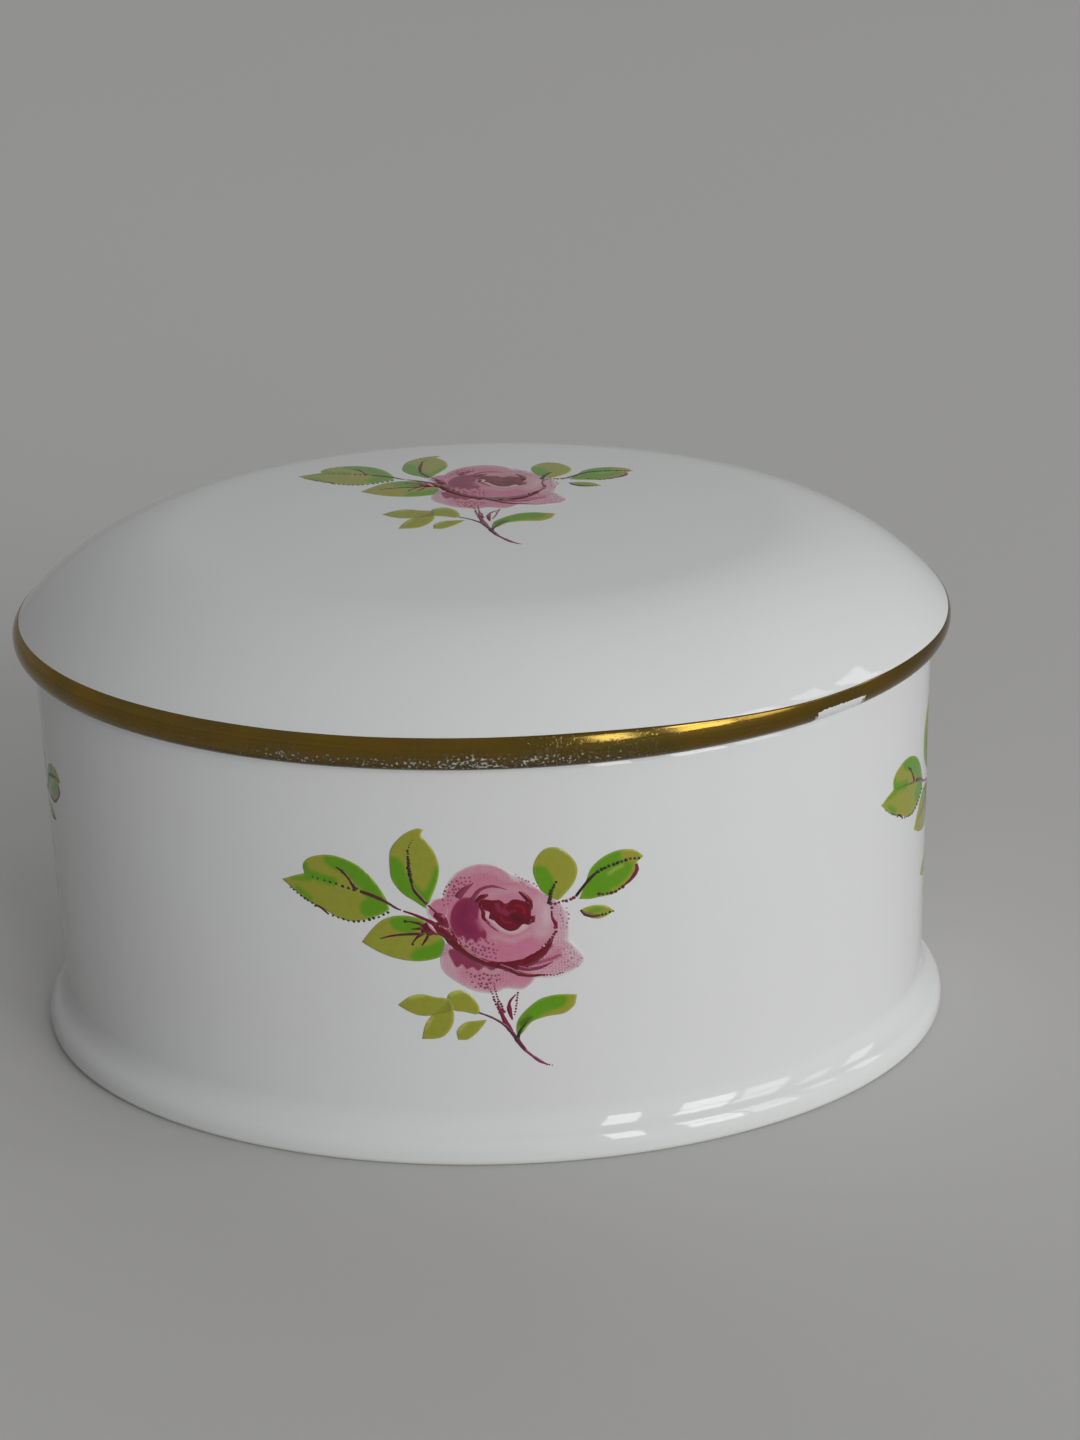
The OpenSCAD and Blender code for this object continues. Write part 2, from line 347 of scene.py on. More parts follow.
# THE LID
# The lid is cast in the same china: a low dome that rolls over into a rounded lip, with a
# plain flange under it that drops inside the cup's mouth. The flange's lower edge is bare.
dome_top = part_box("lid")[1].z / MM
flange_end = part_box("lid")[0].z / MM
crown_r, shoulder_r, lip_r, lid_wall = 320.0, 26.0, 2.0, 2.6
flange_gap, flange_t, flange_round, root_fillet, hollow_fillet = 0.5, 2.4, 0.6, 0.4, 1.4
flange_bare_h = 0.3
flange_half = mouth_half - flange_gap
hollow_half = flange_half - flange_t
lip_c = np.array((lip_half[0] - lip_r, seat_z + lip_r))
crown_c = np.array((0.0, dome_top - crown_r))
span = np.linalg.norm(lip_c - crown_c)
to_crown, to_lip = crown_r - shoulder_r, shoulder_r - lip_r
along = (to_crown ** 2 - to_lip ** 2 + span ** 2) / (2 * span)
aside = math.sqrt(to_crown ** 2 - along ** 2)
line = (lip_c - crown_c) / span
shoulder_c = crown_c + along * line + aside * np.array((-line[1], line[0]))
crown_end = math.degrees(math.atan2(*(shoulder_c - crown_c)[::-1]))
shoulder_end = math.degrees(math.atan2(*(lip_c - shoulder_c)[::-1]))


def dome_height(reach, inset=0.0):
    """The dome's height where an oval of this half length meets it, set in from its surface."""
    meet = (crown_r - inset) * math.cos(math.radians(crown_end))
    crown = crown_c[1] + np.sqrt((crown_r - inset) ** 2 - np.minimum(reach, meet) ** 2)
    fall = (shoulder_r - inset) ** 2 - (reach - shoulder_c[0]) ** 2
    return np.where(reach < meet, crown, shoulder_c[1] + np.sqrt(np.maximum(fall, 0)))


dome = rings_of(np.concatenate((
    arc(crown_c, crown_r, 90, crown_end, 40)[1:],
    arc(shoulder_c, shoulder_r, crown_end, shoulder_end, 44)[1:],
    arc(lip_c, lip_r, shoulder_end, -90, 36)[1:])), lip_half)
flange_x, flange_z = flange_half[0], flange_end + flange_round
flange = rings_of(np.concatenate((
    arc((flange_x + root_fillet, seat_z - root_fillet), root_fillet, 90, 180, 6),
    straight((flange_x, seat_z - root_fillet), (flange_x, flange_z), 10),
    arc((flange_x - flange_round, flange_z), flange_round, 0, -90, 8))), flange_half)
hollow_x = hollow_half[0]
turn = np.linspace(0, 2 * math.pi, around, endpoint=False)
lid_ratio = lip_half[1] / lip_half[0]
hollow_ratio = hollow_half[1] / hollow_half[0]
# The dome's underside stands at a different height all round the hollow's oval.
stretch = np.hypot(np.cos(turn), np.sin(turn) * hollow_ratio / lid_ratio)
hollow = rings_of(arc((hollow_x + flange_round, flange_z), flange_round, -90, -180, 8), hollow_half)
wall_top = dome_height(hollow_x * stretch, lid_wall) - hollow_fillet
hollow += [(hollow_x, hollow_half[1], flange_z + share * (wall_top - flange_end - flange_round))
           for share in (0.1, 0.3, 0.5, 0.7, 0.9)]
ceiling = np.concatenate((
    arc((hollow_x - hollow_fillet, -hollow_fillet), hollow_fillet, 0, 90, 10),
    straight((hollow_x - hollow_fillet, 0), (0, 0), 30)))
hollow += [(x, x * hollow_ratio, dome_height(x * stretch, lid_wall) + drop) for x, drop in ceiling]
lid_rings = dome + flange + hollow
lid = turned("lid_body", lid_rings, china("glazed_lid"))
per_ring(lid, "bare", [float(np.mean(z) < flange_end + flange_bare_h) for x, y, z in lid_rings])
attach(lid, "lid")
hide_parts("lid")

# THE GILT LIP
# A band of liquid gold is brushed round the lip as the lid turns on a wheel, and fired. Use
# has rubbed it thin along the lower edge, where the china shows through in specks.
gilt_from, gilt_reach, gilt_film, brush_steps = -66.0, 0.38, 0.012, 22
gold_colour, olive_gold, worn_gold = (0.25, 0.155, 0.028), (0.19, 0.140, 0.034), (0.21, 0.17, 0.10)
# The darkest of these browns is painted shade for the band's lower edge.
streak_gold, painted_shade_gold, speck_white = (0.18, 0.10, 0.014), (0.035, 0.022, 0.006), (0.50, 0.50,
                                                                                     0.46)
# Where the band is narrower and where it is rubbed away, as turns round the lid from its
# right end, with how far each reaches to either side
narrow_at, narrow_reach, narrow_fade, narrow_by = 5.75, 0.85, 0.6, 0.9
rubbed_at, rubbed_half, rubbed_h, rubbed_fade = 5.543, 0.078, 1.9, 0.4
wear_strength, wear_middle, brush_r = 0.24, 0.005, 42
streak_h, wear_h = 0.006, 0.012
chance = np.random.default_rng(7)


def wander(size, waves):
    """A line that wanders round the box by about size, from a few slow waves."""
    total = np.zeros(around)
    for wave in waves:
        total += chance.uniform(-1, 1) * np.sin(wave * turn + chance.uniform(0, 2 * math.pi))
    return size * total


# The band runs up round the lip and a little way on to the shoulder.
lip_run = math.radians(shoulder_end - gilt_from) * lip_r
low_edge = wander(0.022, (2, 3, 5, 9, 14, 23, 37, 61))
high_edge = lip_run + gilt_reach + wander(0.012, (1, 3, 4, 7, 11, 19, 31))
# The brush ran narrower round the right of the front, and left more of the shoulder white.
far_round = np.abs((turn - narrow_at + math.pi) % (2 * math.pi) - math.pi)
narrow = np.clip((narrow_reach - far_round) / narrow_fade, 0, 1)
high_edge -= narrow_by * narrow ** 2 * (3 - 2 * narrow)


def lip_outline(run, film):
    """Half length and height of the lip's surface, this far up from the band's lower edge."""
    on_lip = math.radians(gilt_from) + np.minimum(run, lip_run) / lip_r
    on_shoulder = math.radians(shoulder_end) + np.maximum(run - lip_run, 0) / shoulder_r
    lower, upper = (centre[:, None] + (r + film) * np.array((np.cos(at), np.sin(at)))
                    for centre, r, at in ((lip_c, lip_r, on_lip),
                                          (shoulder_c, shoulder_r, on_shoulder)))
    return np.where(run < lip_run, lower, upper)


band, rubbed = [], []
shares = np.linspace(0, 1, brush_steps + 1)
for film, order in ((gilt_film, shares), (-gilt_film, shares[::-1])):
    for share in order:
        run = low_edge + share * (high_edge - low_edge)
        x, z = lip_outline(run, film)
        band.append((x, x * lid_ratio, z))
        rubbed.append(np.clip((rubbed_h - run) / rubbed_fade + 0.5, 0, 1)
                      * np.exp(-((turn - rubbed_at) / rubbed_half) ** 6))
gilt_finish, tree, shader = surface("burnished_gold", IOR=1.45)
across = given(tree, "across")
place = add(tree, "ShaderNodeTexCoord").outputs["Object"]
brushed = add(tree, "ShaderNodeCombineXYZ", {0: times(tree, given(tree, "travel"), 0.05),
                                             1: times(tree, across, 9.0)}).outputs[0]
streak = noise(tree, 2.0, 4.0, brushed)
speck, patch = noise(tree, 3400.0, 2.0, place), noise(tree, 130.0, 2.0, place)
# Wear is heaviest along a line just above the lower edge, round the middle of the lid.
middle = add(tree, "ShaderNodeSeparateXYZ", {0: place}).outputs[0]
middle = maths(tree, "ABSOLUTE", maths(tree, "ADD", middle, wear_middle))
middle = between(tree, middle, 0.010, 0.024, 1.0, 0.3)
line_of_wear = times(tree, between(tree, across, 0.08, 0.20),
                     between(tree, across, 0.42, 0.74, 1.0, 0.0))
thin = maths(tree, "ADD", times(tree, speck, 0.9), times(tree, patch, 0.35))
thin = maths(tree, "ADD", thin, times(tree, times(tree, line_of_wear, middle), wear_strength))
worn, faded = between(tree, thin, 0.92, 0.98), between(tree, thin, 0.70, 0.92)
gold = blend(tree, between(tree, patch, 0.38, 0.62), gold_colour, olive_gold)
gold = blend(tree, faded, gold, worn_gold)
gold = blend(tree, between(tree, streak, 0.3, 0.7, 0.0, 0.45), gold, streak_gold)
# Painted shade: the gold is darkened to brown along its lower edge, in place of the shadowed seam
# under the lip that it mirrors there.
gold = blend(tree, between(tree, across, 0.10, 0.36, 0.8, 0.0), gold, painted_shade_gold)
gold = blend(tree, worn, gold, speck_white)
# At one place near the right, fingers have rubbed the lower half of the band away.
ragged = times(tree, maths(tree, "SUBTRACT", speck, 0.5), 0.9)
gone = between(tree, maths(tree, "ADD", given(tree, "rubbed"), ragged), 0.45, 0.55)
tree.links.new(blend(tree, gone, gold, china_colour), shader.inputs["Base Color"])
tree.links.new(maths(tree, "SUBTRACT", 1.0, maths(tree, "MAXIMUM", worn, gone)),
               shader.inputs["Metallic"])
gloss = part_way(tree, faded, between(tree, streak, 0.2, 0.8, 0.07, 0.16), 0.42)
tree.links.new(part_way(tree, gone, gloss, 0.07), shader.inputs["Roughness"])
raise_surface(tree, shader, maths(tree, "ADD", times(tree, streak, streak_h),
                                  times(tree, times(tree, speck, faded), wear_h)))
gilding = turned("gilt_lip", band, gilt_finish, closed=True)
per_ring(gilding, "across", np.concatenate((shares, shares[::-1])))
give(gilding, "travel", np.tile(np.abs(turn - math.pi) * brush_r, len(band)))
give(gilding, "rubbed", np.concatenate(rubbed))
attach(gilding, "lid")
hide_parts("lip_gilding")

# THE ROSE SPRIGS
# Five transfers printed from one drawing, an open rose with leaves, are slid on to the glaze
# and fired into it: one on the crown, one on each long side and one on each end. They are
# flat inks, with rows of fine dots where the darker ones run out.
print_film, line_film, film_root = 0.008, 0.010, 0.02
rose_pitch, heart_pitch, leaf_pitch, line_pitch, bend_steps = 0.115, 0.13, 0.22, 0.28, 7
dot_rise, line_rise, dot_sides = 0.007, 0.0001, 8
wash_edge, rim_wide, rim_strength = 0.55, 0.2, 0.45
olive, leaf_rim = (134, 136, 42), (168, 172, 84)
bright_green, deep_green = (84, 134, 6), (62, 92, 10)
brown_ink, green_ink, plum_ink, crimson_ink = (78, 26, 26), (32, 38, 6), (110, 12, 48), (100, 0, 26)
pink, pale_pink, shell_pink = (178, 112, 133), (182, 142, 154), (187, 163, 171)
mauve, deep_mauve = (125, 34, 70), (128, 46, 78)
china_ink, room_lift = np.array(china_colour), 1.4
wall_marks, shown_map, hidden_map = 6001, (0.98, (0.01, 0.24)), (0.28, (0.01, 0.01))
dots_per_mm, dot_shade, mottle_shade = 3.4, (0.72, 0.50, 0.62), (0.72, 0.70, 0.64)
front_shift, left_shift, sprig_height, crown_place = -1.2, -4.5, 23.4, (-2.2, 3.6, -5.0)
chance = np.random.default_rng(21)


def ink(colour):
    """A printed colour, given from 0 to 255 as it looks in a dim room, as the shader's own."""
    share = np.array(colour, float) / 255
    return np.where(share <= 0.04045, share / 12.92, ((share + 0.055) / 1.055) ** 2.4) * room_lift


def smooth(points, closed=False):
    """A curve through points in mm. A point with a third number is a sharp corner."""
    at = np.array([point[:2] for point in points], float)
    sharp = np.array([len(point) > 2 for point in points])
    if closed:
        pull = (np.roll(at, -1, 0) - np.roll(at, 1, 0)) / 2
        ends, pulls, corners = np.roll(at, -1, 0), np.roll(pull, -1, 0), np.roll(sharp, -1)
    else:
        pull = np.gradient(at, axis=0)
        ends, pulls, corners = at[1:], pull[1:], sharp[1:]
    share = np.linspace(0, 1, bend_steps, endpoint=False)[:, None]
    drawn = []
    for a, b, m, n, cut_a, cut_b in zip(at, ends, pull, pulls, sharp, corners):
        # At a corner the curve sets off straight for its next point.
        m, n = ((b - a) * 0.8 if cut_a else m), ((b - a) * 0.8 if cut_b else n)
        drawn.append((2 * share ** 3 - 3 * share ** 2 + 1) * a
                     + (share ** 3 - 2 * share ** 2 + share) * m
                     + (3 * share ** 2 - 2 * share ** 3) * b + (share ** 3 - share ** 2) * n)
    return np.concatenate(drawn if closed else drawn + [at[-1:]])


def away(spots, line):
    """How far each spot is from a line of points."""
    if len(line) == 1:
        return np.linalg.norm(spots - line[0], axis=1)
    start, step = line[:-1], np.diff(line, axis=0)
    size = np.maximum((step ** 2).sum(1), 1e-9)
    found, batch = np.empty(len(spots)), 2000
    for i in range(0, len(spots), batch):
        gap = spots[i:i + batch, None] - start
        share = np.clip((gap * step).sum(2) / size, 0, 1)
        found[i:i + batch] = np.linalg.norm(gap - share[..., None] * step, axis=2).min(1)
    return found


def within(spots, outline):
    """True for each spot inside a closed outline."""
    a, b = outline, np.roll(outline, -1, 0)
    found = np.zeros(len(spots), bool)
    for (ax, ay), (bx, by) in zip(a, b):
        if ay != by:
            crosses = (spots[:, 1] < ay) != (spots[:, 1] < by)
            found ^= crosses & (spots[:, 0] < ax + (spots[:, 1] - ay) * (bx - ax) / (by - ay))
    return found


def depth(spots, outline):
    """How far each spot is inside a closed outline; less than 0 outside it."""
    far = away(spots, np.concatenate((outline, outline[:1])))
    return np.where(within(spots, outline), far, -far)


def cut_sheet(outline, pitch):
    """A flat sheet of even triangles inside an outline: its points and its faces."""
    ring = np.concatenate((outline, outline[:1]))
    step = np.linalg.norm(np.diff(ring, axis=0), axis=1)
    lengths = np.concatenate(([0], np.cumsum(step)))
    count = max(12, int(lengths[-1] / pitch))
    at = np.linspace(0, lengths[-1], count, endpoint=False)
    edge = np.stack((np.interp(at, lengths, ring[:, 0]), np.interp(at, lengths, ring[:, 1])), 1)
    low, high = edge.min(0), edge.max(0)
    rows = np.arange(low[1], high[1], pitch * math.sqrt(3) / 2)
    columns = np.arange(low[0], high[0], pitch)
    grid = np.array([(x + (j % 2) * pitch / 2, y) for j, y in enumerate(rows) for x in columns])
    if len(grid):
        grid = grid[depth(grid, edge) > pitch * 0.55]
    points = np.concatenate((edge, grid.reshape(-1, 2)))
    loop = [(i, (i + 1) % count) for i in range(count)]
    flat, _, faces, *_ = delaunay_2d_cdt([Vector(p) for p in points.tolist()], loop,
                                         [list(range(count))], 1, 1e-6)
    return np.array([tuple(p) for p in flat]), [tuple(face) for face in faces]


class Print:
    """The printed drawing, piece by piece: points in mm, height, colour, dots and faces."""

    def __init__(self):
        self.spots, self.film, self.colour, self.dots = [], [], [], []
        self.faces, self.shown, self.count = [], [], 0

    def lay(self, spots, faces, film, colour, dots=None):
        """Adds a flat piece as a closed film, rooted in the glaze."""
        size = len(spots)
        edges = dict.fromkeys((a, b) for face in faces for a, b in zip(face, face[1:] + face[:1]))
        rim = [(a, b) for a, b in edges if (b, a) not in edges]
        base, under = self.count, self.count + size
        self.faces += [tuple(base + i for i in face) for face in faces]
        self.shown += [True] * len(faces)
        self.faces += [tuple(under + i for i in reversed(face)) for face in faces]
        self.faces += [(base + b, base + a, under + a, under + b) for a, b in rim]
        self.shown += [False] * (len(faces) + len(rim))
        colour = np.broadcast_to(colour, (size, 3))
        dots = np.zeros(size) if dots is None else dots
        for own, value in ((self.spots, spots), (self.colour, colour), (self.dots, dots)):
            own += [value, value]
        self.film += [np.full(size, film), np.full(size, -film_root)]
        self.count += 2 * size


drawing = Print()
line_height = line_film


def run_of(line):
    """How far along a line of points each point is."""
    return np.concatenate(([0], np.cumsum(np.linalg.norm(np.diff(line, axis=0), axis=1))))


def ribbon(points, widths, colour, waver=0.12):
    """A drawn line in mm, with its width at each point; a narrow end is drawn to a tip."""
    global line_height
    spine = smooth(points)
    marks = np.linspace(0, 1, len(widths))
    along = run_of(spine)
    count = max(4, int(along[-1] / line_pitch) + 1)
    at = np.linspace(0, along[-1], count)
    spine = np.stack((np.interp(at, along, spine[:, 0]), np.interp(at, along, spine[:, 1])), 1)
    half = np.interp(at / along[-1], marks, widths) / 2 * (1 + waver * chance.uniform(-1, 1, count))
    run = np.gradient(spine, axis=0)
    side = np.stack((-run[:, 1], run[:, 0]), 1) / np.linalg.norm(run, axis=1)[:, None]
    spots = np.concatenate((spine + side * half[:, None], spine - side * half[:, None]))
    faces = [(i, count + i, count + i + 1, i + 1) for i in range(count - 1)]
    drawing.lay(spots, faces, line_height, ink(colour))
    line_height += line_rise


def dot(x, y, size, colour):
    """One printed dot, a little out of round."""
    turns = np.linspace(0, 2 * math.pi, dot_sides, endpoint=False)
    half = size / 2 * chance.uniform(0.85, 1.15, dot_sides)
    spots = np.stack((x + half * np.cos(turns), y + half * np.sin(turns)), 1)
    drawing.lay(spots, [tuple(range(dot_sides))], line_film + dot_rise, ink(colour))


def dotted(points, step, sizes, colour, stray=0.04):
    """A row of dots along a curve, with the dots' size at each given point."""
    spine = smooth(points)
    along = run_of(spine)
    at = np.arange(0, along[-1], step)
    for length, x, y in zip(at, np.interp(at, along, spine[:, 0]),
                            np.interp(at, along, spine[:, 1])):
        size = np.interp(length / along[-1], np.linspace(0, 1, len(sizes)), sizes)
        sway = chance.uniform(-stray, stray, 2)
        dot(x + sway[0], y + sway[1], size * chance.uniform(0.8, 1.15), colour)


def stroke(line):
    """A brush's path: a curve, or one place where it is only pressed down."""
    return smooth(line) if len(line) > 1 else np.array(line, float)


def eased(share):
    """A share kept from 0 to 1, changing smoothly at both ends."""
    share = np.clip(share, 0, 1)
    return share * share * (3 - 2 * share)


def leaf(outline, washes, base=olive):
    """A leaf: a flat ink, soft-edged washes of a second ink over it, and a paler rim."""
    edge = smooth(outline, closed=True)
    spots, faces = cut_sheet(edge, leaf_pitch)
    colour = np.broadcast_to(ink(base), (len(spots), 3)).copy()
    for tint, reach, line in washes:
        share = eased((reach - away(spots, stroke(line))) / wash_edge)
        colour = colour + (ink(tint) - colour) * share[:, None]
    rim = np.clip(1 - depth(spots, edge) / rim_wide, 0, 1)[:, None] * rim_strength
    drawing.lay(spots, faces, print_film, colour + (ink(leaf_rim) - colour) * rim)


# The three leaves at the left of the rose
leaf([(-17.5, 6.6, 1), (-16.6, 5.8), (-15.1, 4.6), (-14, 4.1), (-13.2, 3.7), (-12.2, 3.1),
      (-10.9, 2.8), (-9.6, 3), (-7.9, 3.7), (-7, 4.3, 1), (-7.3, 5.5), (-8.4, 7.4), (-9.8, 8.8),
      (-11.6, 9.6), (-13.2, 9.7), (-14.7, 9.2), (-15.3, 8.4), (-15.2, 7.5, 1), (-16.1, 7.2)],
     [(bright_green, 1.5, [(-12, 9.5), (-10.2, 8.6), (-8.7, 7), (-7.6, 5.2)]),
      (bright_green, 0.75, [(-15.4, 8.8), (-15, 7.7), (-13.6, 7.2), (-12.4, 6.9)]),
      (bright_green, 0.5, [(-16.4, 6.9), (-14.8, 6.9)]),
      (bright_green, 0.55, [(-16, 5.8), (-14.8, 4.9)]),
      (bright_green, 1.3, [(-8.9, 4.3), (-7.9, 4.5)])])
leaf([(-3.4, 12.9, 1), (-4.1, 13), (-5.4, 12.3), (-6.6, 10.8), (-6.8, 8.9), (-6.6, 7.4),
      (-5.7, 6.1), (-4.6, 5.3), (-3.5, 4.5, 1), (-3, 5.6), (-2.3, 7.5), (-2.1, 9), (-2.5, 10.6),
      (-3.2, 11.7), (-3.7, 12.3)],
     [(bright_green, 1.35, [(-6.5, 8.9), (-6.1, 7.6), (-5.2, 6.4), (-4.2, 5.4)]),
      (bright_green, 0.75, [(-2.1, 8.6), (-2.8, 6.8), (-3.4, 5.6)])])
leaf([(-9.9, 0.6, 1), (-8.9, 2), (-7.7, 3.2), (-6.2, 3.7), (-4.6, 3.6), (-3.4, 3), (-1.4, 0.8, 1),
      (-1.6, -0.2), (-2.9, -0.9), (-4.6, -1.2), (-6.5, -1), (-8.2, -0.4)],
     [(bright_green, 1.2, [(-6.1, 3), (-5.2, 2.7), (-4.6, 3.4)]),
      (bright_green, 1.25, [(-4.2, -0.7), (-2.8, -0.2), (-1.9, 0.3)])])

# The two leaves at the right, and the small one under them
leaf([(8.3, 4.8, 1), (7.3, 6.4), (6.7, 8.2), (7, 9.6), (7.9, 10.6), (9.2, 10.6), (10.4, 9.5),
      (10.9, 8.3), (10.6, 6.9), (9.6, 5.6), (8.8, 4.9)],
     [(bright_green, 1.25, [(7.3, 7.9), (7.8, 6.8), (8.1, 5.8)]),
      (olive, 0.5, [(8.9, 6.6), (8.7, 5.4)])])
leaf([(11, 5, 1), (11.6, 6.6), (12.1, 8), (12.9, 8.9), (13.9, 9.5), (15.1, 9.8), (16.4, 9.6),
      (17.3, 8.8, 1), (16.6, 8.2), (16.6, 7.4), (16, 6.5), (15.1, 5.7), (14.3, 5.2), (12.9, 5),
      (12, 4.9)],
     [(olive, 1.2, [(16, 9.3), (17.1, 8.8)]), (olive, 0.7,
                                               [(16.6, 7.8), (16.2, 6.8), (15.2, 5.8),
                                                (14.4, 5.4)]),
      (leaf_rim, 0.32, [(13.9, 7.4), (14.5, 7.8), (15.2, 8.1)])], base=bright_green)
leaf([(11.1, 3.8, 1), (11.8, 4.1), (12.7, 4.2), (13.6, 4), (14.3, 3.4, 1), (13.6, 2.9), (12.7, 2.7),
      (11.8, 3)],
     [(bright_green, 0.5, [(12.1, 3.5), (12.9, 3.7)])])

# The flat leaflets under the rose, and the long leaf on the stem
for leaflet in ([(-6.7, -6.1, 1), (-5.5, -5.1), (-4.3, -4.8), (-3, -5.1), (-1.8, -5.3),
                 (-1.3, -6.4), (-2.4, -7), (-4.4, -7.2), (-5.6, -6.8)],
                [(-4.5, -9.8, 1), (-4.2, -8.4), (-3.6, -7.3), (-2.6, -6.4), (-1.6, -5.6),
                 (-1.3, -6.7), (-1.4, -8), (-2.1, -9.2), (-3, -9.7)],
                [(-1.9, -5.4), (-1.6, -4.6), (-0.5, -4.3), (0.5, -5), (1.1, -6), (1.2, -6.7, 1),
                 (0.9, -7), (-0.3, -6.7), (-1.3, -6.5)],
                [(-1, -9.8, 1), (-1.1, -8.8), (-0.3, -7.9), (0.8, -7.7), (1.9, -7.6, 1),
                 (1.3, -8.5), (0.7, -9.2), (-0.1, -9.8)]):
    leaf(leaflet, [(leaf_rim, 0.5, [leaflet[1][:2], leaflet[2][:2]])])
leaf([(4.7, -9.8, 1), (4.7, -8.1), (5.5, -6.8), (6.9, -5.6), (8.3, -5.2), (9.5, -5.2),
      (10.6, -5.3, 1), (10.3, -6.5), (9.3, -7.3), (7.7, -7.5), (6.2, -8), (5.4, -9)],
     [(bright_green, 1.3, [(4.9, -8.8), (5.6, -7.4), (7, -6.2), (8.6, -5.7)]),
      (deep_green, 0.55, [(5.2, -8.2), (5.9, -7.6)])])

# The rose is one sheet. Its inks are laid on it in turn, from the back petals to the heart.
rose_edge = smooth([(-3.5, 4.7), (-2.7, 5.6), (-1.9, 5.7), (-1.7, 6.6), (-0.8, 8.1), (0.4, 8.9),
                    (1.7, 9.3), (3.1, 9.1), (4.3, 8.4), (5.4, 7.8), (6.8, 6.8), (8, 5.6),
                    (9.2, 4.8), (9.9, 3.4), (10, 2), (10, 0.8), (10.7, -0.1), (11.4, -1.3),
                    (10.8, -2.3), (9.6, -3), (8.2, -3.3), (6.9, -3.2), (6.2, -3.8), (5.3, -4.4),
                    (3.9, -4.2), (2.6, -4.7), (0.8, -4.4), (-0.9, -3.4), (-2.1, -2.3), (-2.4, -1.1),
                    (-2.1, 0.2), (-1.9, 0.9), (-2.3, 1.8), (-3, 3)], closed=True)
spots, rose_faces = cut_sheet(rose_edge, rose_pitch)
rose = np.broadcast_to(china_ink, (len(spots), 3)).copy()
dots = np.zeros(len(spots))


def wash(colour, outline, edge=0.12, strength=1, dotting=None):
    """An ink laid inside an outline, fading in over the given edge."""
    global rose
    share = eased(depth(spots, smooth(outline, closed=True)) / edge + 0.5) * strength
    rose = rose + (ink(colour) - rose) * share[:, None]
    if dotting is not None:
        dots[:] = dots + (dotting - dots) * share


def brush(colour, line, reach, edge=0.3, strength=1):
    """An ink laid along a line, fading out at its sides."""
    global rose
    share = eased((reach - away(spots, stroke(line))) / edge) * strength
    rose = rose + (ink(colour) - rose) * share[:, None]


# Petals that fade out behind the rose, then the back petal and the one by the stem
wash(pale_pink, [(5.2, 7.8), (6.9, 6.5), (8.4, 5.2), (9.5, 4.4), (9.9, 2.4), (9.8, 0.8),
                 (8.6, 0), (6, 2)], edge=1, strength=0.85, dotting=0.4)
wash(pink, [(-1.7, 4.8), (-1.6, 6.3), (-0.7, 8), (0.4, 8.8), (1.7, 9.2), (3.1, 9), (4.1, 8.4),
            (4.8, 7.5), (6, 6.8), (7.2, 6.2), (8, 4.6), (4, 3), (0, 3)], edge=0.35, dotting=0.25)
brush(pale_pink, [(0, 8.3), (1.7, 8.9), (3.2, 8.6), (4.3, 7.8), (6, 6.7)], 0.9, edge=0.8,
      strength=0.55)
wash(pink, [(-3.3, 4.5), (-2.7, 5.4), (-1.8, 5.6), (-1.5, 4.2), (-2.2, 3.2), (-3, 3.6)], edge=0.3)
# The petals below
wash(pale_pink, [(-1.7, 0.8), (-2.3, -1.1), (-2, -2.3), (-0.8, -3.4), (0.8, -4.3), (2.6, -4.6),
                 (3.8, -4.1), (5.3, -4.3), (6.2, -3.6), (6.5, -2), (3, 0)], edge=0.35, dotting=0.3)
brush(pink, [(0.2, -2.4), (2.2, -3.2), (4.4, -3), (5.6, -3)], 1.5, edge=1.2, strength=0.8)
wash(deep_mauve, [(-1.3, 0.2), (-1.2, -1.2), (-0.8, -1.8), (-0.3, -1.5), (0.1, -2), (0.7, -1.8),
                  (1.2, -2.2), (1.8, -1.8), (2.5, -2.2), (3.2, -1.9), (3.9, -2.4), (4.5, -1.9),
                  (4.6, -1.2), (2.6, -0.6)], edge=0.15)
wash(pale_pink, [(5.4, -0.8), (8, 0.2), (8.9, 0.9), (9.9, 0.4), (10.5, -0.4), (11.2, -1.5),
                 (10.7, -2.3), (9.5, -2.8), (8.1, -3.1), (6, -2.8)], edge=0.5, dotting=0.4)
brush(pink, [(5.6, -2), (7.4, -1.5), (8.8, -0.6)], 1, edge=0.9, strength=0.8)
brush(shell_pink, [(10, -0.6), (10.9, -1.6)], 1, edge=0.9, strength=0.7)
brush(mauve, [(5, -1.7), (6.6, -1.6), (8.2, -1.2), (9, -0.9)], 0.32, edge=0.3, strength=0.75)
brush(mauve, [(5.2, -1.2), (6.8, -0.8), (8.2, 0.2)], 0.4, edge=0.4, strength=0.8)
# The round heart of the rose: its ball, the plum shade down its left and the pale lip
ball = [(3.5 + 5.2 * math.cos(a), 3.0 + 4.3 * math.sin(a))
        for a in np.linspace(0, 2 * math.pi, 14, endpoint=False)]
wash(pink, ball, edge=0.12, dotting=0.2)
brush((178, 106, 130), [(2.2, -0.4), (4.5, -0.1), (6.2, 0.7)], 1.7, edge=1.3, strength=0.9)
brush(pale_pink, [(7.4, 4.9), (7.8, 3.4), (7.4, 2)], 1.7, edge=1.4)
brush(shell_pink, [(7.9, 4.2), (7.9, 3)], 0.8, edge=0.8, strength=0.7)
brush(pale_pink, [(2.6, 6), (4.4, 6.4), (6, 6.2)], 0.8, edge=0.8, strength=0.5)
wash(mauve, [(-0.2, 5.6), (-1, 4.6), (-1.3, 3.2), (-1, 2), (-0.5, 1.4), (-0.1, 1.6), (0.2, 1),
             (0.7, 1.3), (1.1, 0.8), (1.5, 1.4), (2, 1.2), (2.1, 2), (1.5, 3), (1.5, 4.4),
             (1.9, 5.2), (0.9, 5.7)], edge=0.2)
brush((112, 22, 62), [(0.2, 4.6), (-0.3, 3.2), (0.4, 2.2)], 0.9, edge=0.8, strength=0.7)
